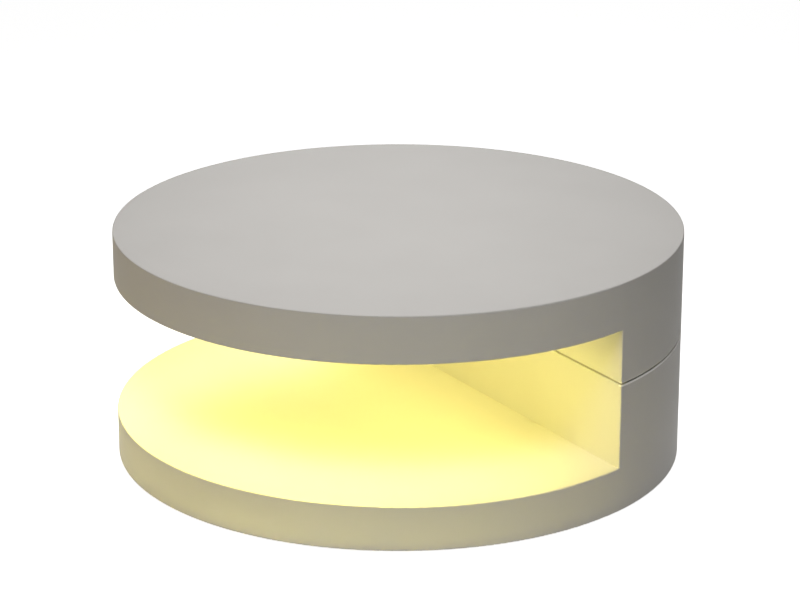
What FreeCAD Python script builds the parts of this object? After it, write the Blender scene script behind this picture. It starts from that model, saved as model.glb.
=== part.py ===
import FreeCAD
import Part
import math
import os

# Swivel coffee table: a round top with a D-shaped block under it turns on a round base with a like block.
# Millimetres. +Z is up, the origin is on the floor under the base's centre, and the flat walls face -Y.

# Overall sizes
table_radius = 400.0
glide_height = 4.0
base_height = 63.0
opening_height = 197.0
top_height = 66.5
flat_wall_offset = 113.0  # from the table's centre to the flat face of both blocks
lower_block_height = 119.0  # above the shelf
seam_gap = 2.5  # between the turning and the standing block

# Boards
skin_thickness = 6.0  # bent bands and curved walls
flat_wall_thickness = 15.0
top_panel_thickness = 16.0
underside_thickness = 12.0
shelf_thickness = 22.0
bottom_thickness = 22.0
bearing_panel_thickness = 18.0
edge_round = 1.5
fit_gap = 0.2  # between a loose-fitted board and the band round it

# Boards on edge inside the top and the base
rib_thickness = 15.0
front_rib_inset = 154.0  # from the inside of the band to the middle of the front rib
back_rib_inset = 94.0
cross_rib_inset = 174.0
brace_thickness = 15.0
brace_clearance = 15.0  # from the turntable to the braces beside it
brace_end_gap = 1.0

# Glue blocks behind the walls
glue_block_length = 40.0
glue_block_side = 20.0
flat_glue_block_offsets = (-240.0, -80.0, 80.0, 240.0)
curved_glue_block_angles = (35.0, 55.0, 75.0, 105.0, 125.0, 145.0)

# Turntable
turntable_recess = 4.0  # of each bearing panel behind its block's seam edge
turntable_wall_gap = 4.7  # from the outer ring to the inside of the flat wall
ball_radius = 2.75
ball_count = 24
race_clearance = 0.25
ring_gap = 1.6  # radial, between the two rings
ring_end_clearance = 1.5  # of each ring to the panel that it isn't screwed to
race_width = 8.0
flange_width = 15.0
flange_thickness = 4.0
cage_thickness = 0.8
cage_height = 6.6
cage_hole_clearance = 0.15
ring_screw_count = 6

# Screws
screw_clearance = 0.1
screw_tip_clearance = 1.0
furniture_screw = {"head": 5.0, "shank": 3.0, "head_height": 2.6, "length": 40.0}
ring_screw = {"head": 3.6, "shank": 1.9, "head_height": 2.2, "length": 14.0}
small_screw = {"head": 3.0, "shank": 1.5, "head_height": 1.7, "length": 11.0}
glide_screw = {"head": 4.0, "shank": 2.0, "head_height": 2.2, "length": 16.0}
drive_share = 0.55  # of a head's radius, to the corners of its drive recess
drive_depth_share = 0.7  # of a head's height
wall_screw_offsets = (-300.0, -100.0, 100.0, 300.0)
brace_screw_inset = 18.0  # from the flat wall to the first screw that goes in from the disc
brace_screw_end_inset = 44.0  # from the far end of a brace to the second one
bearing_screw_insets = (65.0, 165.0)  # from the flat wall, screws that go in from the bearing panel

# Service hole under the lower block
service_hole_radius = 25.0
driver_hole_radius = 8.0
cover_radius = 40.0
cover_thickness = 3.0
cover_gap = 0.5
cover_screw_count = 3
cover_screw_circle = 32.0

# Glides
glide_count = 6
glide_inset = 45.0  # from the table's edge to a glide's centre
glide_radius = 16.0
glide_chamfer = 1.0
glide_screw_depth = 1.2  # of the screw's head above the floor side of the glide

# Light
light_inset = 22.0  # from the table's edge to the middle of the light channel
light_wall_gap = 120.0  # from the flat wall to the middle of the channel's straight run
light_corner_radius = 40.0  # of the middle of the channel at its two corners
channel_width = 16.0
channel_depth = 8.0
channel_side = 1.2
channel_floor = 1.5
channel_fit_gap = 0.1
end_cap_thickness = 1.5
strip_end_gap = 1.0
strip_width = 10.0
strip_thickness = 0.5
chip_side = 5.0
chip_height = 1.6
chip_pitch = 33.3
chip_joint_gap = 8.0  # from the middle of the joint to the nearest chip
diffuser_thickness = 1.5
diffuser_fit_gap = 0.1

# Controller, inlet and leads, all in the turning half
controller_length = 70.0
controller_width = 40.0
controller_height = 24.0
controller_brace_gap = 11.0  # from the brace to the controller's tab
controller_gap = 2.0  # from the glue blocks on the flat wall to the controller
controller_tab = 8.0
controller_tab_thickness = 3.0
inlet_flange_radius = 7.0
inlet_flange_thickness = 2.0
inlet_barrel_radius = 5.5
inlet_length = 20.0
inlet_bore_radius = 2.8
inlet_bore_depth = 10.0
inlet_pin_radius = 1.0
inlet_nut_across_corners = 16.0
inlet_nut_thickness = 3.0
inlet_clearance = 0.1
inlet_panel_gap = 7.0  # from the bearing panel to the inlet's nut
lead_radius = 1.5
lead_hole_clearance = 1.0
lead_bend = 10.0
lead_end_gap = 12.0  # from the channel's joint to the lead
lead_rise = 12.0  # above the underside panel, inside the top
lead_drop_gap = 30.0  # from the controller's end to the lead where it comes down
inlet_lead_turn = 75.0  # from the controller's back to the corner of the inlet lead

# Heights and places that follow
base_z = glide_height
shelf_z = base_z + base_height
underside_z = shelf_z + opening_height
top_z = underside_z + top_height
lower_seam_z = shelf_z + lower_block_height
upper_seam_z = lower_seam_z + seam_gap
upper_cavity_low = underside_z + underside_thickness
upper_cavity_high = top_z - top_panel_thickness
base_cavity_low = base_z + bottom_thickness
base_cavity_high = shelf_z - shelf_thickness
lower_bearing_z = lower_seam_z - turntable_recess
upper_bearing_z = upper_seam_z + turntable_recess
upper_bearing_top = upper_bearing_z + bearing_panel_thickness
lower_bearing_underside = lower_bearing_z - bearing_panel_thickness
inner_radius = table_radius - skin_thickness
front_rib_y = front_rib_inset - inner_radius
back_rib_y = inner_radius - back_rib_inset
cross_rib_x = inner_radius - cross_rib_inset
wall_back_y = flat_wall_offset + flat_wall_thickness
wall_middle_y = flat_wall_offset + flat_wall_thickness / 2
middle_rib_y = (front_rib_y + wall_middle_y) / 2
pivot_y = (flat_wall_offset + table_radius) / 2
corner_angle = math.degrees(math.asin(flat_wall_offset / table_radius))
tolerance = 1e-4

# Turntable sizes that follow
outer_ring_outside = pivot_y - wall_back_y - turntable_wall_gap
outer_ring_bore = outer_ring_outside - flange_width - race_width
ball_circle_radius = outer_ring_bore - ring_gap / 2
inner_ring_outside = ball_circle_radius - ring_gap / 2
inner_ring_bore = inner_ring_outside - race_width - flange_width
inner_screw_circle = inner_ring_bore + flange_width / 2
outer_screw_circle = outer_ring_outside - flange_width / 2
ball_z = (lower_bearing_z + upper_bearing_z) / 2
brace_inner_x = outer_ring_outside + brace_clearance
brace_middle_x = brace_inner_x + brace_thickness / 2
brace_outer_x = brace_inner_x + brace_thickness
brace_end_y = math.sqrt(inner_radius**2 - brace_outer_x**2) - brace_end_gap
driver_x = -outer_screw_circle

# Light sizes that follow
light_radius = table_radius - light_inset
light_run_y = flat_wall_offset - light_wall_gap
channel_floor_z = underside_z + channel_depth - channel_floor
strip_z = channel_floor_z - strip_thickness
chip_z = strip_z - chip_height

# Lead places that follow
inlet_z = upper_bearing_top + inlet_panel_gap + inlet_nut_across_corners / 2
controller_y = wall_back_y + glue_block_side + controller_gap + controller_width / 2
controller_x = controller_tab + controller_length / 2 + controller_brace_gap - brace_inner_x
controller_end_x = controller_x + controller_length / 2
lead_x = controller_end_x + lead_drop_gap
light_joint_x = lead_x + lead_end_gap
lead_top_z = upper_cavity_low + lead_rise
lead_hole_radius = lead_radius + lead_hole_clearance


def point(x, y, z):
    return FreeCAD.Vector(x, y, z)


def board(x_low, x_high, y_low, y_high, z_low, z_high):
    corner = point(x_low, y_low, z_low)
    return Part.makeBox(x_high - x_low, y_high - y_low, z_high - z_low, corner)


def disc(radius, z_low, z_high, x=0.0, y=0.0):
    return Part.makeCylinder(radius, z_high - z_low, point(x, y, z_low))


def ring(inside, outside, z_low, z_high, x=0.0, y=0.0):
    return disc(outside, z_low, z_high, x, y).cut(disc(inside, z_low, z_high, x, y))


def half_board(radius, y_low, z_low, z_high):
    """D-shaped board: the part of a disc that lies behind y_low."""
    behind = board(-radius, radius, y_low, radius, z_low, z_high)
    return disc(radius, z_low, z_high).common(behind).Solids[0]


def arc_bar(inside, outside, z_low, z_high, start, sweep):
    """Bar of rectangular section bent round the table's centre, from the angle start, in degrees."""
    corners = [
        point(inside, 0, z_low),
        point(outside, 0, z_low),
        point(outside, 0, z_high),
        point(inside, 0, z_high),
    ]
    face = Part.Face(Part.makePolygon(corners + corners[:1]))
    bar = face.revolve(point(0, 0, 0), point(0, 0, 1), sweep)
    bar.rotate(point(0, 0, 0), point(0, 0, 1), start)
    return bar


def round_circle(number, radius, x=0.0, y=0.0, first=0.0):
    """Places spread evenly round a circle."""
    angles = [math.radians(first + 360.0 * i / number) for i in range(number)]
    return [(x + radius * math.cos(a), y + radius * math.sin(a)) for a in angles]


def group(shapes):
    return Part.makeCompound([solid for shape in shapes for solid in shape.Solids])


def rounded(shape, chosen):
    """The shape with edge_round on the edges that chosen accepts."""
    return shape.makeFillet(edge_round, [edge for edge in shape.Edges if chosen(edge)]).Solids[0]


def at_height(edge, z):
    return all(abs(p.z - z) < tolerance for p in edge.discretize(5))


def on_outside(edge):
    return all(abs(math.hypot(p.x, p.y) - table_radius) < tolerance for p in edge.discretize(5))


def on_flat_face(edge):
    return all(abs(p.y - flat_wall_offset) < tolerance for p in edge.discretize(5))


# Screws


def screw_body(kind, growth=0.0, deeper=0.0):
    """Countersunk screw that points down from its head's flat face at the origin."""
    head_bottom = -kind["head_height"]
    length = kind["length"] - kind["head_height"] + deeper
    head = Part.makeCone(
        kind["shank"] + growth, kind["head"] + growth, kind["head_height"], point(0, 0, head_bottom)
    )
    shank = Part.makeCylinder(kind["shank"] + growth, length, point(0, 0, head_bottom - length))
    return head.fuse(shank)


def hexagon(radius, z_low, z_high):
    corners = [point(x, y, z_low) for x, y in round_circle(6, radius)]
    face = Part.Face(Part.makePolygon(corners + corners[:1]))
    return face.extrude(point(0, 0, z_high - z_low))


def placed(shape, x, y, z, points_up):
    moved = shape.copy()
    if points_up:
        moved.rotate(point(0, 0, 0), point(1, 0, 0), 180)
    moved.translate(point(x, y, z))
    return moved


def screws(kind, places, z, points_up=False):
    """One screw of a kind at each place. Its head's face is at z, and it points down unless told."""
    drive = hexagon(drive_share * kind["head"], -drive_depth_share * kind["head_height"], 0)
    screw = screw_body(kind).cut(drive)
    return [placed(screw, x, y, z, points_up) for x, y in places]


def drilled(shape, kind, places, z, points_up=False):
    """The shape with the holes that those screws sit in."""
    hole = screw_body(kind, screw_clearance, screw_tip_clearance)
    for x, y in places:
        shape = shape.cut(placed(hole, x, y, z, points_up))
    return shape


wall_screw_places = [(x, wall_middle_y) for x in wall_screw_offsets]
brace_screw_places = [
    (side * brace_middle_x, y)
    for side in (-1, 1)
    for y in (wall_back_y + brace_screw_inset, brace_end_y - brace_screw_end_inset)
]
bearing_screw_places = [
    (side * brace_middle_x, wall_back_y + inset) for side in (-1, 1) for inset in bearing_screw_insets
]
block_screw_places = wall_screw_places + brace_screw_places
inner_ring_screw_places = round_circle(ring_screw_count, inner_screw_circle, 0, pivot_y)
outer_ring_screw_places = round_circle(ring_screw_count, outer_screw_circle, 0, pivot_y)
glide_places = round_circle(glide_count, table_radius - glide_inset, first=30.0)
cover_screw_places = round_circle(cover_screw_count, cover_screw_circle, driver_x, pivot_y, 90.0)


# Bent bands, walls and boards


def rim(z_low, z_high, square_z):
    """Band round a disc. Its outer edges are rounded, but square at square_z above or below the block."""
    open_side = arc_bar(
        inner_radius, table_radius, z_low, z_high, 180 - corner_angle, 180 + 2 * corner_angle
    )
    block_side = arc_bar(
        inner_radius, table_radius, z_low, z_high, corner_angle, 180 - 2 * corner_angle
    )
    free_z = z_low if square_z == z_high else z_high
    open_side = rounded(
        open_side, lambda e: on_outside(e) and (at_height(e, z_low) or at_height(e, z_high))
    )
    block_side = rounded(block_side, lambda e: on_outside(e) and at_height(e, free_z))
    return open_side.fuse(block_side).removeSplitter().Solids[0]


def curved_wall(z_low, z_high, seam_z):
    """Bent wall of a block, with its corners and its seam edge rounded."""
    band = ring(inner_radius, table_radius, z_low, z_high)
    behind = board(-table_radius, table_radius, flat_wall_offset, table_radius, z_low, z_high)
    wall = band.common(behind).Solids[0]

    def chosen(edge):
        corner = on_outside(edge) and on_flat_face(edge)
        seam = at_height(edge, seam_z) and (on_outside(edge) or on_flat_face(edge))
        return corner or seam

    return rounded(wall, chosen)


def flat_wall(z_low, z_high, seam_z):
    """Flat wall of a block, fitted between the ends of the curved wall."""
    in_front = board(-table_radius, table_radius, flat_wall_offset, wall_back_y, z_low, z_high)
    wall = disc(inner_radius, z_low, z_high).common(in_front).Solids[0]
    return rounded(wall, lambda e: at_height(e, seam_z) and on_flat_face(e))


def braces(z_low, z_high):
    """Two boards on edge behind the flat wall, one on each side of the turntable."""
    left = board(-brace_outer_x, -brace_inner_x, wall_back_y, brace_end_y, z_low, z_high)
    right = board(brace_inner_x, brace_outer_x, wall_back_y, brace_end_y, z_low, z_high)
    return [left, right]


def glue_blocks(z_low):
    """Softwood blocks in the corner between a disc and the walls of its block."""
    z_high = z_low + glue_block_side
    half = glue_block_length / 2
    blocks = [
        board(x - half, x + half, wall_back_y, wall_back_y + glue_block_side, z_low, z_high)
        for x in flat_glue_block_offsets
    ]
    reach = math.sqrt((inner_radius - fit_gap) ** 2 - half**2)
    for angle in curved_glue_block_angles:
        piece = board(reach - glue_block_side, reach, -half, half, z_low, z_high)
        piece.rotate(point(0, 0, 0), point(0, 0, 1), angle)
        blocks.append(piece)
    return blocks


def long_rib(y, z_low, z_high):
    """Board on edge across a disc, with its middle at y."""
    far_y = abs(y) + rib_thickness / 2
    half = math.sqrt(inner_radius**2 - far_y**2) - fit_gap
    return board(-half, half, y - rib_thickness / 2, y + rib_thickness / 2, z_low, z_high)


def cross_ribs(z_low, z_high):
    """Short boards that hold the long ribs apart."""
    half = rib_thickness / 2
    rows = (front_rib_y, middle_rib_y, wall_middle_y, back_rib_y)
    return [
        board(x - half, x + half, before + half, after - half, z_low, z_high)
        for before, after in zip(rows, rows[1:])
        for x in (-cross_rib_x, cross_rib_x)
    ]


def disc_frame(prefix, z_low, z_high):
    """The ribs inside the top or the base."""
    return {
        prefix + "_rib_front": long_rib(front_rib_y, z_low, z_high),
        prefix + "_rib_middle": long_rib(middle_rib_y, z_low, z_high),
        prefix + "_rib_chord": long_rib(wall_middle_y, z_low, z_high),
        prefix + "_rib_back": long_rib(back_rib_y, z_low, z_high),
        prefix + "_cross_ribs": group(cross_ribs(z_low, z_high)),
    }


# Base, which stands still


def base():
    shelf = disc(inner_radius, base_cavity_high, shelf_z)
    shelf = shelf.cut(disc(service_hole_radius, base_cavity_high, shelf_z, driver_x, pivot_y))
    shelf = drilled(shelf, furniture_screw, block_screw_places, base_cavity_high, True)
    bottom = disc(inner_radius, base_z, base_cavity_low)
    bottom = bottom.cut(disc(service_hole_radius, base_z, base_cavity_low, driver_x, pivot_y))
    bottom = bottom.cut(
        disc(cover_radius + cover_gap, base_z, base_z + cover_thickness, driver_x, pivot_y)
    )
    bottom = drilled(bottom, small_screw, cover_screw_places, base_z, True)
    bottom = drilled(bottom, glide_screw, glide_places, glide_screw_depth, True)
    nodes = {
        "base_rim": rim(base_z, shelf_z, shelf_z),
        "shelf_panel": shelf,
        "base_bottom_panel": bottom,
    }
    nodes.update(disc_frame("base", base_cavity_low, base_cavity_high))
    return nodes


def lower_block():
    front = flat_wall(shelf_z, lower_seam_z, lower_seam_z)
    boards = braces(shelf_z, lower_bearing_underside)
    panel = half_board(inner_radius, wall_back_y, lower_bearing_underside, lower_bearing_z)
    panel = panel.cut(
        disc(driver_hole_radius, lower_bearing_underside, lower_bearing_z, driver_x, pivot_y)
    )
    panel = drilled(panel, ring_screw, inner_ring_screw_places, lower_bearing_z + flange_thickness)
    panel = drilled(panel, furniture_screw, bearing_screw_places, lower_bearing_z)
    boards = [drilled(b, furniture_screw, bearing_screw_places, lower_bearing_z) for b in boards]
    boards = [drilled(b, furniture_screw, brace_screw_places, base_cavity_high, True) for b in boards]
    joint_screws = screws(furniture_screw, block_screw_places, base_cavity_high, True)
    joint_screws += screws(furniture_screw, bearing_screw_places, lower_bearing_z)
    return {
        "lower_block_front": drilled(front, furniture_screw, wall_screw_places, base_cavity_high, True),
        "lower_block_wall": curved_wall(shelf_z, lower_seam_z, lower_seam_z),
        "lower_block_braces": group(boards),
        "lower_glue_blocks": group(glue_blocks(shelf_z)),
        "lower_bearing_panel": panel,
        "lower_joint_screws": group(joint_screws),
    }


def glide(x, y):
    """Round nylon glide with a chamfered foot and a countersunk hole."""
    body = disc(glide_radius, 0, glide_height, x, y)
    floor_edges = [edge for edge in body.Edges if at_height(edge, 0)]
    body = body.makeChamfer(glide_chamfer, floor_edges)
    body = body.cut(disc(glide_screw["head"] + screw_clearance, 0, glide_screw_depth, x, y))
    return drilled(body, glide_screw, [(x, y)], glide_screw_depth, True)


def underside_fittings():
    cover = disc(cover_radius, base_z, base_z + cover_thickness, driver_x, pivot_y)
    cover = drilled(cover, small_screw, cover_screw_places, base_z, True)
    return {
        "service_cover": cover,
        "service_cover_screws": group(screws(small_screw, cover_screw_places, base_z, True)),
        "base_glides": group([glide(x, y) for x, y in glide_places]),
        "glide_screws": group(screws(glide_screw, glide_places, glide_screw_depth, True)),
    }


# Turntable


def race():
    """The space that the balls run in, a ring of round section."""
    return Part.makeTorus(ball_circle_radius, ball_radius + race_clearance, point(0, pivot_y, ball_z))


def inner_ring():
    top = upper_bearing_z - ring_end_clearance
    race_low = inner_ring_outside - race_width
    body = ring(race_low, inner_ring_outside, lower_bearing_z, top, 0, pivot_y)
    flange_top = lower_bearing_z + flange_thickness
    flange = ring(inner_ring_bore, race_low, lower_bearing_z, flange_top, 0, pivot_y)
    body = body.fuse(flange).removeSplitter().cut(race())
    return drilled(body, ring_screw, inner_ring_screw_places, flange_top).Solids[0]


def outer_ring():
    low = lower_bearing_z + ring_end_clearance
    race_high = outer_ring_bore + race_width
    body = ring(outer_ring_bore, race_high, low, upper_bearing_z, 0, pivot_y)
    flange_low = upper_bearing_z - flange_thickness
    flange = ring(race_high, outer_ring_outside, flange_low, upper_bearing_z, 0, pivot_y)
    body = body.fuse(flange).removeSplitter().cut(race())
    return drilled(body, ring_screw, outer_ring_screw_places, flange_low, True).Solids[0]


def ball_places():
    return round_circle(ball_count, ball_circle_radius, 0, pivot_y)


def ball_cage():
    """Thin band between the rings, with a round hole for each ball."""
    inside = ball_circle_radius - cage_thickness / 2
    outside = ball_circle_radius + cage_thickness / 2
    body = ring(inside, outside, ball_z - cage_height / 2, ball_z + cage_height / 2, 0, pivot_y)
    centre = point(0, pivot_y, ball_z)
    for x, y in ball_places():
        outward = point(x, y, ball_z) - centre
        hole = Part.makeCylinder(ball_radius + cage_hole_clearance, 2 * outward.Length, centre, outward)
        body = body.cut(hole)
    return body.Solids[0]


def turntable():
    flange_top = lower_bearing_z + flange_thickness
    flange_low = upper_bearing_z - flange_thickness
    balls = [Part.makeSphere(ball_radius, point(x, y, ball_z)) for x, y in ball_places()]
    return {
        "turntable_inner_ring": inner_ring(),
        "inner_ring_screws": group(screws(ring_screw, inner_ring_screw_places, flange_top)),
        "turntable_outer_ring": outer_ring(),
        "outer_ring_screws": group(screws(ring_screw, outer_ring_screw_places, flange_low, True)),
        "turntable_balls": group(balls),
        "turntable_ball_cage": ball_cage(),
    }


# Upper half, which turns


def light_outline(offset, z_low, z_high):
    """D-shaped board inside the light's middle line, grown by offset. Its corners are rounded."""
    radius = light_radius + offset
    run_y = light_run_y + offset
    outline = disc(radius, z_low, z_high)
    outline.rotate(point(0, 0, 0), point(0, 0, 1), -90)
    outline = outline.common(board(-radius, radius, -radius, run_y, z_low, z_high)).Solids[0]
    corners = [e for e in outline.Edges if all(abs(v.Y - run_y) < tolerance for v in e.Vertexes)]
    corners = [e for e in corners if abs(e.tangentAt(e.FirstParameter).z) > 0.99]
    return outline.makeFillet(light_corner_radius + offset, corners)


def light_bar(width, z_low, z_high):
    """Bar that follows the light's closed line."""
    return light_outline(width / 2, z_low, z_high).cut(light_outline(-width / 2, z_low, z_high))


def top():
    groove = light_bar(channel_width + 2 * channel_fit_gap, underside_z, underside_z + channel_depth)
    underside = disc(inner_radius, underside_z, upper_cavity_low).cut(groove)
    underside = drilled(underside, furniture_screw, block_screw_places, upper_cavity_low)
    for y in (light_run_y, controller_y):
        underside = underside.cut(disc(lead_hole_radius, underside_z, upper_cavity_low, lead_x, y))
    nodes = {
        "top_panel": disc(inner_radius, upper_cavity_high, top_z),
        "top_rim": rim(underside_z, top_z, underside_z),
        "top_underside_panel": underside,
    }
    nodes.update(disc_frame("top", upper_cavity_low, upper_cavity_high))
    corners = led_lead_corners()
    nodes["top_rib_chord"] = nodes["top_rib_chord"].cut(hole_between(corners[1], corners[2]))
    return nodes


def upper_block():
    front = flat_wall(upper_seam_z, underside_z, upper_seam_z)
    boards = braces(upper_bearing_top, underside_z)
    panel = half_board(inner_radius, wall_back_y, upper_bearing_z, upper_bearing_top)
    panel = drilled(panel, ring_screw, outer_ring_screw_places, upper_bearing_z - flange_thickness, True)
    panel = drilled(panel, furniture_screw, bearing_screw_places, upper_bearing_z, True)
    panel = drilled(panel, small_screw, controller_screw_places(), controller_tab_top())
    boards = [drilled(b, furniture_screw, bearing_screw_places, upper_bearing_z, True) for b in boards]
    boards = [drilled(b, furniture_screw, brace_screw_places, upper_cavity_low) for b in boards]
    joint_screws = screws(furniture_screw, block_screw_places, upper_cavity_low)
    joint_screws += screws(furniture_screw, bearing_screw_places, upper_bearing_z, True)
    return {
        "upper_block_front": drilled(front, furniture_screw, wall_screw_places, upper_cavity_low),
        "upper_block_wall": inlet_hole(curved_wall(upper_seam_z, underside_z, upper_seam_z)),
        "upper_block_braces": group(boards),
        "upper_glue_blocks": group(glue_blocks(underside_z - glue_block_side)),
        "upper_bearing_panel": panel,
        "upper_joint_screws": group(joint_screws),
    }


# Light in the underside of the top


def joint_block(x_low, x_high, z_low, z_high):
    """Block across the channel's straight run, placed from the joint where the channel's ends meet."""
    half = channel_width / 2
    low_x = light_joint_x + x_low
    return board(low_x, light_joint_x + x_high, light_run_y - half, light_run_y + half, z_low, z_high)


def light_chips():
    outline = light_outline(0, strip_z, channel_floor_z)
    face = [f for f in outline.Faces if abs(f.CenterOfMass.z - strip_z) < tolerance][0]
    number = int(face.OuterWire.Length // chip_pitch)
    places = face.OuterWire.discretize(Number=number + 1)[:-1]
    half = chip_side / 2
    chip = board(-half, half, -half, half, chip_z, strip_z)
    chips = []
    for before, place, after in zip(places[-1:] + places, places, places[1:] + places[:1]):
        along = after - before
        if abs(place.y - light_run_y) < tolerance and abs(place.x - light_joint_x) < chip_joint_gap:
            continue
        copy = chip.copy()
        copy.rotate(point(0, 0, 0), point(0, 0, 1), math.degrees(math.atan2(along.y, along.x)))
        copy.translate(point(place.x, place.y, 0))
        chips.append(copy)
    return chips


def light():
    inside_width = channel_width - 2 * channel_side
    channel_top = underside_z + channel_depth
    diffuser_width = inside_width - 2 * diffuser_fit_gap
    cap = end_cap_thickness
    joint = joint_block(-cap, cap, underside_z, channel_top)
    strip_joint = joint_block(-cap - strip_end_gap, cap + strip_end_gap, underside_z, channel_top)
    channel = light_bar(channel_width, underside_z, channel_top)
    channel = channel.cut(light_bar(inside_width, underside_z, channel_floor_z)).cut(joint)
    channel = channel.cut(disc(lead_hole_radius, channel_floor_z, channel_top, lead_x, light_run_y))
    caps = [joint_block(-cap, 0, underside_z, channel_top), joint_block(0, cap, underside_z, channel_top)]
    diffuser = light_bar(diffuser_width, underside_z, underside_z + diffuser_thickness).cut(joint)
    return {
        "led_channel": channel.Solids[0],
        "led_end_caps": group(caps),
        "led_strip": light_bar(strip_width, strip_z, channel_floor_z).cut(strip_joint).Solids[0],
        "led_chips": group(light_chips()),
        "led_diffuser": diffuser.Solids[0],
    }


# Controller, inlet and leads


def controller_screw_places():
    reach = controller_length / 2 + controller_tab / 2
    return [(controller_x - reach, controller_y), (controller_x + reach, controller_y)]


def controller_tab_top():
    return upper_bearing_top + controller_tab_thickness


def controller():
    half_length = controller_length / 2
    half_width = controller_width / 2
    body = board(
        controller_x - half_length,
        controller_x + half_length,
        controller_y - half_width,
        controller_y + half_width,
        upper_bearing_top,
        upper_bearing_top + controller_height,
    )
    upright = [edge for edge in body.Edges if abs(edge.tangentAt(edge.FirstParameter).z) > 0.99]
    body = body.makeFillet(controller_tab_thickness, upright)
    tabs = board(
        controller_x - half_length - controller_tab,
        controller_x + half_length + controller_tab,
        controller_y - controller_tab,
        controller_y + controller_tab,
        upper_bearing_top,
        controller_tab_top(),
    )
    body = body.fuse(tabs).removeSplitter()
    return drilled(body, small_screw, controller_screw_places(), controller_tab_top()).Solids[0]


def back_cylinder(radius, front_y, back_y):
    """Cylinder along Y at the inlet, from front_y, inside the block, to back_y."""
    return Part.makeCylinder(radius, back_y - front_y, point(0, front_y, inlet_z), point(0, 1, 0))


inlet_face_y = math.sqrt(table_radius**2 - inlet_flange_radius**2)
inlet_seat_y = inlet_face_y - inlet_flange_thickness
inlet_front_y = inlet_face_y - inlet_length
nut_face_y = math.sqrt(inner_radius**2 - (inlet_nut_across_corners / 2) ** 2)


def inlet_hole(wall):
    """The curved wall with a seat and a hole for the power inlet."""
    wall = wall.cut(back_cylinder(inlet_flange_radius + inlet_clearance, inlet_seat_y, table_radius))
    return wall.cut(back_cylinder(inlet_barrel_radius + inlet_clearance, inlet_front_y, table_radius))


def inlet():
    """Round socket, flush with the back of the curved wall, and the nut that holds it."""
    bore_y = inlet_face_y - inlet_bore_depth
    body = back_cylinder(inlet_flange_radius, inlet_seat_y, inlet_face_y)
    body = body.fuse(back_cylinder(inlet_barrel_radius, inlet_front_y, inlet_seat_y)).removeSplitter()
    body = body.cut(back_cylinder(inlet_bore_radius, bore_y, inlet_face_y))
    pin = back_cylinder(inlet_pin_radius, bore_y, inlet_seat_y)
    nut = hexagon(inlet_nut_across_corners / 2, 0, inlet_nut_thickness)
    nut = nut.cut(disc(inlet_barrel_radius + screw_clearance, 0, inlet_nut_thickness))
    nut.rotate(point(0, 0, 0), point(1, 0, 0), 90)
    nut.translate(point(0, nut_face_y, inlet_z))
    return {"power_inlet": body.fuse(pin).Solids[0], "power_inlet_nut": nut}


def lead(corners):
    """Round lead through the corners, with an arc of radius lead_bend at each."""
    edges = []
    start = corners[0]
    for before, corner, after in zip(corners, corners[1:], corners[2:]):
        back = (before - corner).normalize()
        ahead = (after - corner).normalize()
        half_angle = back.getAngle(ahead) / 2
        inward = (back + ahead).normalize()
        reach = lead_bend / math.tan(half_angle)
        middle = corner + inward * (lead_bend / math.sin(half_angle) - lead_bend)
        edges.append(Part.LineSegment(start, corner + back * reach).toShape())
        edges.append(Part.Arc(corner + back * reach, middle, corner + ahead * reach).toShape())
        start = corner + ahead * reach
    edges.append(Part.LineSegment(start, corners[-1]).toShape())
    section = Part.Wire(Part.Circle(corners[0], corners[1] - corners[0], lead_radius).toShape())
    return Part.Wire(edges).makePipeShell([section], True, False)


def led_lead_corners():
    """From the strip up into the top, over the flat wall, down into the block and to the controller."""
    return [
        point(lead_x, light_run_y, channel_floor_z),
        point(lead_x, light_run_y, lead_top_z),
        point(lead_x, controller_y, lead_top_z),
        point(lead_x, controller_y, inlet_z),
        point(controller_end_x, controller_y, inlet_z),
    ]


def hole_between(start, end):
    """Cutter for the hole that the lead runs through on its way from start to end."""
    return Part.makeCylinder(lead_hole_radius, (end - start).Length, start, end - start)


def leads():
    controller_back_y = controller_y + controller_width / 2
    inlet_to_controller = [
        point(0, inlet_front_y, inlet_z),
        point(0, controller_back_y + inlet_lead_turn, inlet_z),
        point(controller_x, controller_back_y + inlet_lead_turn, inlet_z),
        point(controller_x, controller_back_y, inlet_z),
    ]
    return {"led_lead": lead(led_lead_corners()), "inlet_lead": lead(inlet_to_controller)}


def electrics():
    tab_screws = screws(small_screw, controller_screw_places(), controller_tab_top())
    nodes = {"led_controller": controller(), "controller_screws": group(tab_screws)}
    nodes.update(inlet())
    nodes.update(leads())
    return nodes


def main():
    nodes = {}
    for section in (base, lower_block, underside_fittings, turntable, top, upper_block, light, electrics):
        nodes.update(section())
    os.makedirs("parts", exist_ok=True)
    for name, shape in nodes.items():
        shape.exportStep("parts/" + name + ".step")
        print(name, len(shape.Solids), "solids", round(shape.Volume / 1000, 1), "cm3", shape.isValid())
    print(len(nodes), "nodes")


main()
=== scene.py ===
# %% [markdown]
# # A swivel coffee table with a lit shelf
#
# The table is two thick round discs, each with a D-shaped block on it. The upper half turns on the lower
# one on a turntable hidden between the blocks. Both are board, painted a warm grey that is nearly matt.
# A light strip set into the underside of the top lights the open shelf.
#
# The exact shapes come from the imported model, so this lesson is about what a model of plain solids lacks:
# a paint film with its fine stipple, sawn board, turned metal, moulded plastic, and light that glows and
# bounces between the two discs.

import math

import bpy
import numpy as np
from mathutils import Matrix, Vector


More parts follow.
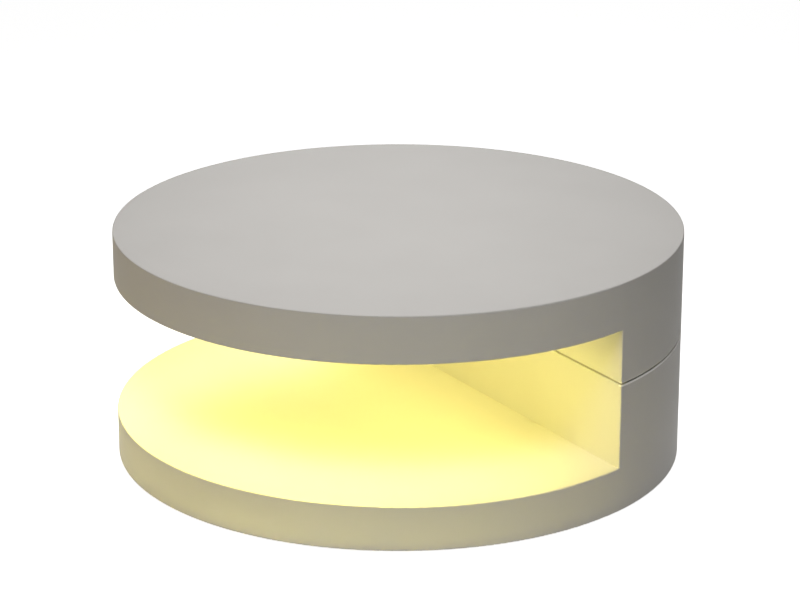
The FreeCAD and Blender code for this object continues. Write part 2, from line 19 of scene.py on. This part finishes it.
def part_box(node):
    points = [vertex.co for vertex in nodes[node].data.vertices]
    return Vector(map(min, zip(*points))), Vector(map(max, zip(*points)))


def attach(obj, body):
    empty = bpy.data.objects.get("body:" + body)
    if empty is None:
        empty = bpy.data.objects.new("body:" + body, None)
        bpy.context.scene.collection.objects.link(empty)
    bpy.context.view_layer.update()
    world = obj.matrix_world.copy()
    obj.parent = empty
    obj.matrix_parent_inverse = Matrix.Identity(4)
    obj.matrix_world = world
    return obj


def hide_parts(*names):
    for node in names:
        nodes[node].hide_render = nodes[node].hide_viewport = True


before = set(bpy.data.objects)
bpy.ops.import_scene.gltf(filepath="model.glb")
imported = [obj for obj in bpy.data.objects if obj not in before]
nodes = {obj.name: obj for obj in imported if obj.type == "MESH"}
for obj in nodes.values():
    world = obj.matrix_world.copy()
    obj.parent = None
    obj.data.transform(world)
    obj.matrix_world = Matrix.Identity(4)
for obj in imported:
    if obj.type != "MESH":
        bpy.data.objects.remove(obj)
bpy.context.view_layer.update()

# %% [markdown]
# ## The camera
#
# A product picture is taken from far away with a long lens, so that circles stay even ellipses. The camera
# stands to the right of the open side and looks down at about 19 degrees. Its direction is made from three
# angles, and the matrix below turns them into Blender's own axes: right, up, and backwards.

# %% Camera
camera_distance = 3.9478  # along the floor, from the middle of the table
camera_height = 1.5730
camera_turn = math.radians(58.34)  # from the open side's own direction, about the vertical
camera_yaw = math.radians(0.0355)
camera_pitch = math.radians(18.9805)
camera_roll = math.radians(0.0459)
camera_lens = 132.66
camera_sensor = 36.0  # the lens and the sensor are in millimetres
camera_reach = 100.0  # nothing further away is drawn


def aim(yaw, pitch, roll):
    """Rotation with -Z along the view, which is turned by yaw, dips by pitch and then rolls about itself."""
    ahead = Vector((
        math.sin(yaw) * math.cos(pitch), math.cos(yaw) * math.cos(pitch), -math.sin(pitch)
    ))
    right = ahead.cross(Vector((0, 0, 1))).normalized()
    up = right.cross(ahead)
    rolled_right = right * math.cos(roll) + up * math.sin(roll)
    rolled_up = up * math.cos(roll) - right * math.sin(roll)
    return Matrix((rolled_right, rolled_up, -ahead)).transposed()


camera_data = bpy.data.cameras.new("camera")
camera_data.lens = camera_lens
camera_data.sensor_width = camera_sensor
camera_data.clip_end = camera_reach
camera = bpy.data.objects.new("camera", camera_data)
bpy.context.scene.collection.objects.link(camera)
stand = Matrix.Rotation(camera_turn, 4, "Z") @ Matrix.Translation((0, -camera_distance, camera_height))
camera.matrix_world = stand @ aim(camera_yaw, camera_pitch, camera_roll).to_4x4()
bpy.context.scene.camera = camera
bpy.context.scene.view_settings.view_transform = "Standard"
print("camera at", [round(v, 3) for v in camera.matrix_world.translation])

# %% [markdown]
# ## The floor and the background
#
# The table stands on plain white, so all the eye has to judge it by is its own light and shadow. The floor
# is a wide pale disc. What the camera sees of it is lifted to white, which leaves only the soft shadow,
# while the light that it throws back at the table is that of a plain pale floor.

# %% Finish of the floor
floor_colour = (0.80, 0.80, 0.80, 1.0)
floor_lift = 0.945


def seen_directly(tree):
    """1 for a ray from the camera, a mirror or a glass, and 0 for the rays that carry light."""
    path = tree.nodes.new("ShaderNodeLightPath")
    seen = path.outputs["Is Camera Ray"]
    for kind in ("Is Glossy Ray", "Is Transmission Ray"):
        either = tree.nodes.new("ShaderNodeMath")
        either.operation = "MAXIMUM"
        tree.links.new(seen, either.inputs[0])
        tree.links.new(path.outputs[kind], either.inputs[1])
        seen = either.outputs[0]
    return seen


floor_material = bpy.data.materials.new("floor_white")
floor_material.use_nodes = True
tree = floor_material.node_tree
tree.nodes.clear()
diffuse = tree.nodes.new("ShaderNodeBsdfDiffuse")
diffuse.inputs["Color"].default_value = floor_colour
lift = tree.nodes.new("ShaderNodeEmission")
strength = tree.nodes.new("ShaderNodeMath")
strength.operation = "MULTIPLY"
strength.inputs[1].default_value = floor_lift
tree.links.new(seen_directly(tree), strength.inputs[0])
tree.links.new(strength.outputs[0], lift.inputs["Strength"])
added = tree.nodes.new("ShaderNodeAddShader")
tree.links.new(diffuse.outputs[0], added.inputs[0])
tree.links.new(lift.outputs[0], added.inputs[1])
output = tree.nodes.new("ShaderNodeOutputMaterial")
tree.links.new(added.outputs[0], output.inputs["Surface"])
print("floor_white, lifted by", floor_lift)

# %% [markdown]
# The disc itself is one face with many sides, whose points are radius * (cos, sin) of even steps of a turn.
# It lies a hair below zero, so that the glides touch it without sharing its plane.

# %% Floor
floor_radius = 30.0
floor_gap = 0.0002
floor_points = 64

turn = np.linspace(0, 2 * math.pi, floor_points, endpoint=False)
edge = np.stack([floor_radius * np.cos(turn), floor_radius * np.sin(turn), 0 * turn - floor_gap], axis=1)
floor_mesh = bpy.data.meshes.new("floor")
floor_mesh.from_pydata(edge.tolist(), [], [list(range(floor_points))])
floor_mesh.materials.append(floor_material)
floor = bpy.data.objects.new("floor", floor_mesh)
bpy.context.scene.collection.objects.link(floor)
print("floor of", 2 * floor_radius, "m")

# %% [markdown]
# ## The sky
#
# The sky is an even dim white, which only fills the shadows a little. What sees it directly, such as the
# camera or a mirror, sees it as full white, so it needs the same switch as the floor.

# %% Sky
sky_strength = 0.055

world = bpy.data.worlds.new("studio")
bpy.context.scene.world = world
world.use_nodes = True
tree = world.node_tree
tree.nodes.clear()
background = tree.nodes.new("ShaderNodeBackground")
background.inputs["Color"].default_value = (1, 1, 1, 1)
level = tree.nodes.new("ShaderNodeMapRange")
level.inputs["To Min"].default_value = sky_strength
level.inputs["To Max"].default_value = 1.0
tree.links.new(seen_directly(tree), level.inputs["Value"])
tree.links.new(level.outputs["Result"], background.inputs["Strength"])
output = tree.nodes.new("ShaderNodeOutputWorld")
tree.links.new(background.outputs[0], output.inputs["Surface"])
print("sky with a strength of", sky_strength)

# %% [markdown]
# ## The softboxes
#
# A broad lamp gives soft edges to every shadow, and paint that is nearly matt then shows an even tone. Two
# white softboxes, each as wide as a person is tall, make the top the lightest face: one high behind the
# table and one near the camera. A smaller, lower and weaker one, amber, stands at the left and warms that end
# of the bands. The spread narrows the white ones, so that they light the table more than the floor.

# %% Softboxes
softboxes = {
    "behind": {
        "place": (-2.84, 1.64, 2.49), "size": 1.8, "power": 5.3, "spread": 36.0, "colour": (1, 1, 1),
    },
    "front": {
        "place": (2.11, -1.47, 3.26), "size": 1.8, "power": 4.6, "spread": 36.0, "colour": (1, 1, 1),
    },
    "left": {
        "place": (-1.45, -3.10, 0.93), "size": 1.6, "power": 2.8, "spread": 120.0, "colour": (1, 0.55, 0.15),
    },
}
softbox_aim = Vector((0.10, -0.06, 0.2))

for name, box in softboxes.items():
    lamp_data = bpy.data.lights.new(name, "AREA")
    lamp_data.shape = "DISK"
    lamp_data.size = box["size"]
    lamp_data.energy = box["power"]
    lamp_data.color = box["colour"]
    lamp_data.spread = math.radians(box["spread"])
    lamp = bpy.data.objects.new(name, lamp_data)
    bpy.context.scene.collection.objects.link(lamp)
    facing = (softbox_aim - Vector(box["place"])).to_track_quat("-Z", "Y").to_matrix().to_4x4()
    lamp.matrix_world = Matrix.Translation(box["place"]) @ facing
    print(name, "softbox of", box["size"], "m at", box["place"])

# %% [markdown]
# ## A finish and its pattern
#
# Every finish is a Principled shader fed by noise that is worked out from the object's own coordinates in
# metres, so a grain has its real size and runs on from one part to the next. Two small helpers make the
# shader and the noise.

# %% Shader and noise
finishes = {}


def finish(name, metallic=0.0, specular=0.5):
    """A new material with a Principled shader. Most carry the name of the material slot that they fill."""
    material = bpy.data.materials.new(name)
    material.use_nodes = True
    tree = material.node_tree
    shader = tree.nodes["Principled BSDF"]
    shader.inputs["Metallic"].default_value = metallic
    shader.inputs["Specular IOR Level"].default_value = specular
    finishes[name] = material
    return tree, shader


def grain(tree, size, detail=2.0, stretch=(1, 1, 1)):
    """Noise with features of about that size, in metres, drawn out along each axis by stretch."""
    place = tree.nodes.new("ShaderNodeTexCoord")
    mapping = tree.nodes.new("ShaderNodeMapping")
    mapping.inputs["Scale"].default_value = [1 / s for s in stretch]
    tree.links.new(place.outputs["Object"], mapping.inputs["Vector"])
    noise = tree.nodes.new("ShaderNodeTexNoise")
    noise.inputs["Scale"].default_value = 1 / size
    noise.inputs["Detail"].default_value = detail
    tree.links.new(mapping.outputs["Vector"], noise.inputs["Vector"])
    return noise.outputs["Fac"]


print("helpers finish and grain")

# %% [markdown]
# ## What follows the pattern
#
# A pattern shows in three ways: as a change of tone, as a change of gloss, and as relief. Each has a helper
# of its own, which takes the pattern's factor from 0 to 1 and ties one input of the shader to it.

# %% Tone, gloss and relief
def tones(tree, shader, factor, dark, light, low=0.35, high=0.65):
    """Base colour that goes from dark to light as the factor goes from low to high."""
    ramp = tree.nodes.new("ShaderNodeValToRGB")
    ramp.color_ramp.elements[0].position = low
    ramp.color_ramp.elements[0].color = (*dark, 1.0)
    ramp.color_ramp.elements[1].position = high
    ramp.color_ramp.elements[1].color = (*light, 1.0)
    tree.links.new(factor, ramp.inputs["Fac"])
    tree.links.new(ramp.outputs["Color"], shader.inputs["Base Color"])


def roughen(tree, shader, factor, low, high):
    """Roughness that goes from low to high with the factor."""
    spread = tree.nodes.new("ShaderNodeMapRange")
    spread.inputs["To Min"].default_value = low
    spread.inputs["To Max"].default_value = high
    tree.links.new(factor, spread.inputs["Value"])
    tree.links.new(spread.outputs["Result"], shader.inputs["Roughness"])


def relief(tree, shader, factor, height, strength):
    """A bump that follows the factor, height in metres, on top of any bump that the shader already has."""
    bump = tree.nodes.new("ShaderNodeBump")
    bump.inputs["Distance"].default_value = height
    bump.inputs["Strength"].default_value = strength
    tree.links.new(factor, bump.inputs["Height"])
    if shader.inputs["Normal"].is_linked:
        tree.links.new(shader.inputs["Normal"].links[0].from_socket, bump.inputs["Normal"])
    tree.links.new(bump.outputs["Normal"], shader.inputs["Normal"])


print("helpers tones, roughen and relief")

# %% [markdown]
# ## The paint
#
# The table is sprayed with a lacquer between satin and matt. Close up it isn't flat: it has the faint waves
# of orange peel, a few millimetres apart, over a much finer stipple, and its tone and gloss drift a little
# from place to place. Two noises make the relief and two slow ones the drift. Where the curved walls of the
# two blocks meet, their rounded edges get a painted highlight: a paler colour that stands in for the light
# those edges catch. Those edges lie just above and below the seam, so their height is enough to find them.

# %% Paint
paint_light = (0.606, 0.586, 0.556)
paint_dark = (0.592, 0.572, 0.542)
# Painted highlight: a paler colour on the rounded edges next to the seam, standing in for the light they
# catch.
edge_highlight_colour = (0.86, 0.84, 0.80)
tone_size, gloss_size = 0.12, 0.03  # of the slow drifts
peel_size, stipple_size = 0.0035, 0.0007
# The band of the painted highlight lies this far above and below the seam's height.
seam_height = 0.18725
highlight_from, highlight_to = 0.0013, 0.0033  # distance from the seam's height, up and down


def paint_edge_highlight(tree, shader, colour, height, near, far):
    """A painted highlight: colour in place of the base colour where the distance to a height lies between
    near and far.
    """
    place = tree.nodes.new("ShaderNodeTexCoord")
    split = tree.nodes.new("ShaderNodeSeparateXYZ")
    tree.links.new(place.outputs["Object"], split.inputs["Vector"])
    band = tree.nodes.new("ShaderNodeMath")
    band.operation = "SUBTRACT"
    for socket, reach in zip(band.inputs, (far, near)):
        within = tree.nodes.new("ShaderNodeMath")
        within.operation = "COMPARE"
        within.inputs[1].default_value = height
        within.inputs[2].default_value = reach
        tree.links.new(split.outputs["Z"], within.inputs[0])
        tree.links.new(within.outputs[0], socket)
    # The paint's own colour, which the painted highlight replaces within the band.
    colour_without_highlight = shader.inputs["Base Color"].links[0].from_socket
    mix = tree.nodes.new("ShaderNodeMixRGB")
    mix.inputs["Color2"].default_value = (*colour, 1.0)
    tree.links.new(band.outputs[0], mix.inputs["Fac"])
    tree.links.new(colour_without_highlight, mix.inputs["Color1"])
    tree.links.new(mix.outputs["Color"], shader.inputs["Base Color"])


def paint(name):
    """The lacquer, as a finish under that name."""
    tree, shader = finish(name, specular=0.12)
    tones(tree, shader, grain(tree, tone_size, detail=3.0), paint_dark, paint_light)
    roughen(tree, shader, grain(tree, gloss_size, detail=3.0), low=0.54, high=0.62)
    relief(tree, shader, grain(tree, peel_size, detail=1.0), height=0.00006, strength=0.5)
    relief(tree, shader, grain(tree, stipple_size, detail=2.0), height=0.00002, strength=0.5)
    return tree, shader


paint("painted_board")
# The curved walls' paint, with a painted highlight on its edges at the seam.
tree, shader = paint("painted_wall_highlit")
paint_edge_highlight(tree, shader, edge_highlight_colour, seam_height, highlight_from, highlight_to)
print("painted_board, painted_wall_highlit")

# %% [markdown]
# ## Board that nobody sees
#
# The frame inside is pressed fibre board. It looks like fine felt: short fibres in all directions, with
# darker specks. The board under the base is the same, rolled with one coat of sealer, so it is darker and
# smoother. Noise drawn out along one or two axes gives both their look. The corner blocks are softwood, sawn
# along the grain, and their year rings need a pattern with a direction: evenly spaced bands, bent by noise.

# %% Boards
def rings(tree, size, distortion=0.0, centre=(0, 0, 0), across=None):
    """Rings about a vertical line through the centre, or straight bands if across names an axis. They lie
    size metres apart, because this texture repeats every pi / (10 * scale)."""
    place = tree.nodes.new("ShaderNodeTexCoord")
    mapping = tree.nodes.new("ShaderNodeMapping")
    mapping.inputs["Location"].default_value = [-c for c in centre]
    tree.links.new(place.outputs["Object"], mapping.inputs["Vector"])
    wave = tree.nodes.new("ShaderNodeTexWave")
    wave.wave_type = "BANDS" if across else "RINGS"
    if across:
        wave.bands_direction = across
    else:
        wave.rings_direction = "Z"
    wave.inputs["Scale"].default_value = math.pi / (10 * size)
    wave.inputs["Distortion"].default_value = distortion
    tree.links.new(mapping.outputs["Vector"], wave.inputs["Vector"])
    return wave.outputs["Fac"]


tree, shader = finish("raw_board", specular=0.25)
fibres = grain(tree, size=0.0025, detail=6.0, stretch=(2, 2, 1))
tones(tree, shader, fibres, dark=(0.42, 0.29, 0.18), light=(0.62, 0.46, 0.31), low=0.3, high=0.7)
roughen(tree, shader, grain(tree, size=0.004), low=0.78, high=0.92)
relief(tree, shader, grain(tree, size=0.0012, detail=6.0), height=0.00015, strength=0.6)

tree, shader = finish("sealed_board", specular=0.35)
streaks = grain(tree, size=0.006, detail=6.0, stretch=(3, 1, 1))
tones(tree, shader, streaks, dark=(0.385, 0.355, 0.315), light=(0.455, 0.425, 0.385), low=0.3, high=0.7)
roughen(tree, shader, grain(tree, size=0.05, detail=3.0), low=0.50, high=0.68)
relief(tree, shader, grain(tree, size=0.0012, detail=4.0), height=0.00010, strength=0.5)

tree, shader = finish("softwood", specular=0.3)
year_rings = rings(tree, size=0.005, distortion=6.0, across="Z")
tones(tree, shader, year_rings, dark=(0.60, 0.42, 0.24), light=(0.80, 0.63, 0.43), low=0.2, high=0.8)
roughen(tree, shader, grain(tree, size=0.002, detail=3.0, stretch=(1, 8, 1)), low=0.62, high=0.80)
relief(tree, shader, grain(tree, size=0.0015, detail=3.0, stretch=(8, 1, 1)), height=0.00012, strength=0.5)
print("raw_board, sealed_board, softwood")

# %% [markdown]
# ## Metal
#
# The turntable's rings are turned aluminium, so their marks are rings about the pivot. The screws are zinc
# plated steel with a cloudy sheen, and the balls are polished. The light channel is extruded and anodised,
# with fine lines along its length, which noise drawn out along the straight run shows well enough.

# %% Metals
pivot = (0.0, 0.2565, 0.0)

tree, shader = finish("ring_aluminium", metallic=1.0)
tones(tree, shader, grain(tree, size=0.02, detail=3.0), dark=(0.70, 0.71, 0.72), light=(0.80, 0.81, 0.82))
roughen(tree, shader, grain(tree, size=0.003, detail=3.0), low=0.26, high=0.40)
relief(tree, shader, rings(tree, size=0.0006, distortion=0.4, centre=pivot), height=0.00002, strength=0.4)

tree, shader = finish("zinc_steel", metallic=1.0)
tones(tree, shader, grain(tree, size=0.003, detail=4.0), dark=(0.52, 0.53, 0.53), light=(0.70, 0.70, 0.68))
roughen(tree, shader, grain(tree, size=0.002, detail=3.0), low=0.26, high=0.46)
relief(tree, shader, grain(tree, size=0.0008, detail=3.0), height=0.00003, strength=0.4)

tree, shader = finish("ball_steel", metallic=1.0)
tones(tree, shader, grain(tree, size=0.004, detail=2.0), dark=(0.74, 0.74, 0.75), light=(0.82, 0.82, 0.83))
roughen(tree, shader, grain(tree, size=0.001, detail=2.0), low=0.05, high=0.12)

tree, shader = finish("channel_aluminium", metallic=1.0)
tones(tree, shader, grain(tree, size=0.01, detail=3.0), dark=(0.76, 0.77, 0.78), light=(0.84, 0.85, 0.86))
roughen(tree, shader, grain(tree, size=0.0008, detail=2.0, stretch=(20, 1, 1)), low=0.30, high=0.46)
relief(tree, shader, grain(tree, size=0.0005, detail=2.0, stretch=(40, 1, 1)), height=0.00002, strength=0.4)
print("ring_aluminium, zinc_steel, ball_steel, channel_aluminium")

# %% [markdown]
# ## Plastic and rubber
#
# Moulded plastic has the fine spark-eroded grain of its mould, with a soft even gloss. Nylon is paler and a
# little cloudy inside, and the lead's sheath is softer and duller. The same helpers make them all, because
# at this size only tone, gloss and grain tell them apart.

# %% Plastics
tree, shader = finish("black_plastic", specular=0.4)
cloud = grain(tree, size=0.015, detail=3.0)
tones(tree, shader, cloud, dark=(0.026, 0.026, 0.028), light=(0.038, 0.038, 0.040))
roughen(tree, shader, grain(tree, size=0.002, detail=3.0), low=0.42, high=0.58)
relief(tree, shader, grain(tree, size=0.0006, detail=3.0), height=0.00006, strength=0.6)

tree, shader = finish("cap_plastic", specular=0.4)
tones(tree, shader, grain(tree, size=0.004, detail=3.0), dark=(0.58, 0.58, 0.57), light=(0.66, 0.66, 0.65))
roughen(tree, shader, grain(tree, size=0.001, detail=3.0), low=0.38, high=0.52)
relief(tree, shader, grain(tree, size=0.0005, detail=2.0), height=0.00003, strength=0.5)

tree, shader = finish("glide_nylon", specular=0.45)
tones(tree, shader, grain(tree, size=0.008, detail=3.0), dark=(0.74, 0.73, 0.69), light=(0.82, 0.81, 0.78))
roughen(tree, shader, grain(tree, size=0.003, detail=3.0), low=0.34, high=0.52)
relief(tree, shader, rings(tree, size=0.0010, distortion=2.0, across="X"), height=0.00002, strength=0.3)

tree, shader = finish("cage_nylon", specular=0.45)
tones(tree, shader, grain(tree, size=0.006, detail=3.0), dark=(0.78, 0.78, 0.75), light=(0.86, 0.86, 0.83))
roughen(tree, shader, grain(tree, size=0.002, detail=3.0), low=0.38, high=0.54)
relief(tree, shader, grain(tree, size=0.0008, detail=2.0), height=0.00003, strength=0.4)

tree, shader = finish("lead_sheath", specular=0.35)
tones(tree, shader, grain(tree, size=0.01, detail=3.0), dark=(0.81, 0.81, 0.80), light=(0.89, 0.89, 0.88))
roughen(tree, shader, grain(tree, size=0.002, detail=3.0), low=0.52, high=0.70)
relief(tree, shader, grain(tree, size=0.0006, detail=3.0), height=0.00003, strength=0.5)
print("black_plastic, cap_plastic, glide_nylon, cage_nylon, lead_sheath")

# %% [markdown]
# ## The light
#
# Inside the channel lies a white strip with yellow phosphor chips, and a frosted cover closes it. In the
# render it is the cover that gives the light: it is one soft line without dots, it turns with the top, and
# the boards throw the glow back and forth until the whole shelf is lit. How much of the glow each place of
# the cover gives is kept on its points, in an attribute that the finish reads.

# %% Light finishes
glow_colour = (1.0, 0.885, 0.22)
glow_strength = 80.0
glow_attribute = "glow_share"
chip_roughness = 0.4
chip_strength = 2.0

tree, shader = finish("circuit_board")
tones(tree, shader, grain(tree, size=0.003, detail=3.0), dark=(0.88, 0.88, 0.86), light=(0.94, 0.94, 0.92))
roughen(tree, shader, grain(tree, size=0.001, detail=3.0), low=0.34, high=0.48)

tree, shader = finish("led_chip")
tones(tree, shader, grain(tree, size=0.0012, detail=2.0), dark=(0.90, 0.78, 0.20), light=(0.96, 0.88, 0.36))
shader.inputs["Roughness"].default_value = chip_roughness
shader.inputs["Emission Color"].default_value = (*glow_colour, 1.0)
shader.inputs["Emission Strength"].default_value = chip_strength

tree, shader = finish("light_diffuser")
tones(tree, shader, grain(tree, size=0.002), dark=(0.88, 0.86, 0.76), light=(0.94, 0.92, 0.82))
roughen(tree, shader, grain(tree, size=0.001, detail=2.0), low=0.30, high=0.42)
share = tree.nodes.new("ShaderNodeAttribute")
share.attribute_name = glow_attribute
shared_glow = tree.nodes.new("ShaderNodeVectorMath")
shared_glow.operation = "SCALE"
shared_glow.inputs[0].default_value = glow_colour
tree.links.new(share.outputs["Fac"], shared_glow.inputs["Scale"])
tree.links.new(shared_glow.outputs["Vector"], shader.inputs["Emission Color"])
shader.inputs["Emission Strength"].default_value = glow_strength
print("circuit_board, led_chip, light_diffuser")

# %% [markdown]
# ## The line of the light
#
# The light runs in a closed D just inside the table's edge: a long arc round the open side and a straight run
# in front of the flat wall, joined by two small arcs. A line made of arcs and straights can be worked out
# exactly, so each stretch is sampled as one array, and the stretches are joined end to end. Next to each
# point stands the direction that points out of the D, which the cover's profile needs.

# %% The middle line of the light
light_radius = 0.378
light_run_y = -0.007
light_corner_radius = 0.040
light_joint_x = -0.0078  # the line starts and ends here, on the straight run
light_joint_gap = 0.003
run_points, corner_points, arc_points = 40, 40, 400

quarter = math.pi / 2
half_gap = light_joint_gap / 2
corner_middle_y = light_run_y - light_corner_radius
corner_middle_x = math.sqrt((light_radius - light_corner_radius) ** 2 - corner_middle_y**2)
corner_end = math.atan2(corner_middle_y, corner_middle_x)


def arc_stretch(middle, radius, start, end, count):
    """Points on a circle, middle + radius * (cos, sin) of an angle that goes from start to end, each with
    that (cos, sin) as its way out."""
    angle = np.linspace(start, end, count)
    way_out = np.stack([np.cos(angle), np.sin(angle)], axis=1)
    return np.asarray(middle) + radius * way_out, way_out


def straight_stretch(start_x, end_x, count):
    """Points on the straight run from one x to another, with +Y as their way out."""
    x = np.linspace(start_x, end_x, count)
    return np.stack([x, 0 * x + light_run_y], axis=1), np.stack([0 * x, 0 * x + 1.0], axis=1)


def joined(arrays):
    """The arrays end to end. Each starts where the last one ended, so its first row is left out."""
    return np.concatenate([arrays[0]] + [rows[1:] for rows in arrays[1:]])


right_corner = (corner_middle_x, corner_middle_y)
left_corner = (-corner_middle_x, corner_middle_y)
stretches = [
    straight_stretch(light_joint_x + half_gap, corner_middle_x, run_points),
    arc_stretch(right_corner, light_corner_radius, quarter, corner_end, corner_points),
    arc_stretch((0, 0), light_radius, corner_end, -math.pi - corner_end, arc_points),
    arc_stretch(left_corner, light_corner_radius, math.pi - corner_end, quarter, corner_points),
    straight_stretch(-corner_middle_x, light_joint_x - half_gap, run_points),
]
line = joined([points for points, ways in stretches])
way_out = joined([ways for points, ways in stretches])
length = np.linalg.norm(np.diff(line, axis=0), axis=1).sum()
print(len(line), "points on a light line of", round(float(length), 3), "m")

# %% [markdown]
# ## The frosted cover
#
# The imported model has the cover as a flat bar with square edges. Pressed opal plastic has soft edges, so
# here one profile is carried along the line: flat in the middle and lifted at both sides, with a flat back.
# It stays in the space of the bar.

# %% Surface of the cover
cover_low, cover_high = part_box("led_diffuser")
cover_width = 0.0134
cover_edge_lift = 0.0004
profile_points = 13
edge_power = 8


def swept_cover(line, way_out, width, low_z, high_z, edge_lift):
    """Profile carried along the line. At a share s of the half width, from 1 to -1, the front lies at
    low_z + edge_lift * s to the power of edge_power. The back is flat at high_z."""
    s = np.sin(np.linspace(quarter, -quarter, profile_points))
    offset = np.concatenate([s, s[[-1, 0]]]) * width / 2
    height = np.concatenate([low_z + edge_lift * s**edge_power, [high_z, high_z]])
    across = line[:, None, :] + offset[None, :, None] * way_out[:, None, :]
    heights = np.broadcast_to(height[None, :, None], (*across.shape[:2], 1))
    points = np.concatenate([across, heights], axis=2).reshape(-1, 3)
    rows, columns = len(line), len(offset)
    row, column = np.meshgrid(np.arange(rows - 1), np.arange(columns), indexing="ij")
    beside = (column + 1) % columns
    faces = np.stack([
        row * columns + column, (row + 1) * columns + column,
        (row + 1) * columns + beside, row * columns + beside,
    ], axis=2).reshape(-1, 4).tolist()
    first_end = list(range(columns))
    last_end = [(rows - 1) * columns + c for c in first_end][::-1]
    return points, faces + [first_end, last_end]


points, faces = swept_cover(line, way_out, cover_width, cover_low[2], cover_high[2], cover_edge_lift)
print(len(points), "points and", len(faces), "faces, in the bar's space from", cover_low, "to", cover_high)

# %% [markdown]
# ## The glow along the cover
#
# The cover gives the most light round the front of the open side, and less towards both ends of the arc and
# along the straight run. The share that a point gives depends only on where it stands: its direction from
# the middle of the table says where it is on the arc, and its distance tells the arc from the run. With its
# glow the cover turns with the top, and it replaces the bar in the picture.

# %% Frosted cover
run_share = 0.38
arc_end_share = 0.40
brightest_at = math.radians(-65)
falloff = math.radians(50)
run_reach = 0.335  # the straight run lies within this distance from the middle
arc_reach = 0.370  # and the arc lies beyond this one


def glow_shares(points):
    """Share of the full glow at each point. With a as the direction from the middle, the arc's share is
    end + (1 - end) * exp(-((a - brightest) / falloff) ** 2), with end as the share at its ends. A smooth step
    of the distance from the middle leads from the run's share to it."""
    direction = np.arctan2(points[:, 1], points[:, 0])
    arc_share = arc_end_share + (1 - arc_end_share) * np.exp(-(((direction - brightest_at) / falloff) ** 2))
    from_middle = np.linalg.norm(points[:, :2], axis=1)
    step = np.clip((from_middle - run_reach) / (arc_reach - run_reach), 0, 1)
    return run_share + (arc_share - run_share) * step**2 * (3 - 2 * step)


cover_mesh = bpy.data.meshes.new("light_cover")
cover_mesh.from_pydata(points.tolist(), [], faces)
shares = glow_shares(points)
cover_mesh.attributes.new(glow_attribute, "FLOAT", "POINT").data.foreach_set("value", shares)
cover_mesh.materials.append(finishes["light_diffuser"])
cover_mesh.shade_smooth()
cover = bpy.data.objects.new("light_cover", cover_mesh)
bpy.context.scene.collection.objects.link(cover)
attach(cover, "swivel_top")
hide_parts("led_diffuser")
print("light_cover, with shares of the glow from", round(shares.min(), 3), "to", round(shares.max(), 3))

# %% [markdown]
# ## Dressing the parts
#
# Each part of the imported model already carries the name of its finish. All that is left is to swap the
# plain placeholder in its material slot for the finish made above. Four parts get another one. The two
# boards that meet at the turntable are raw board inside, but they show when the top is turned, so they are
# painted. The two curved walls get the paint with a painted highlight on their edges at the seam.

# %% Give the parts their finishes
other_finish = {
    "upper_bearing_panel": "painted_board",
    "lower_bearing_panel": "painted_board",
    "upper_block_wall": "painted_wall_highlit",
    "lower_block_wall": "painted_wall_highlit",
}

plain = {}
for name, node in nodes.items():
    for slot in node.material_slots:
        wanted = other_finish.get(name, slot.material.name)
        if wanted in finishes:
            slot.material = finishes[wanted]
        else:
            plain[name] = wanted
print("still plain:", plain)
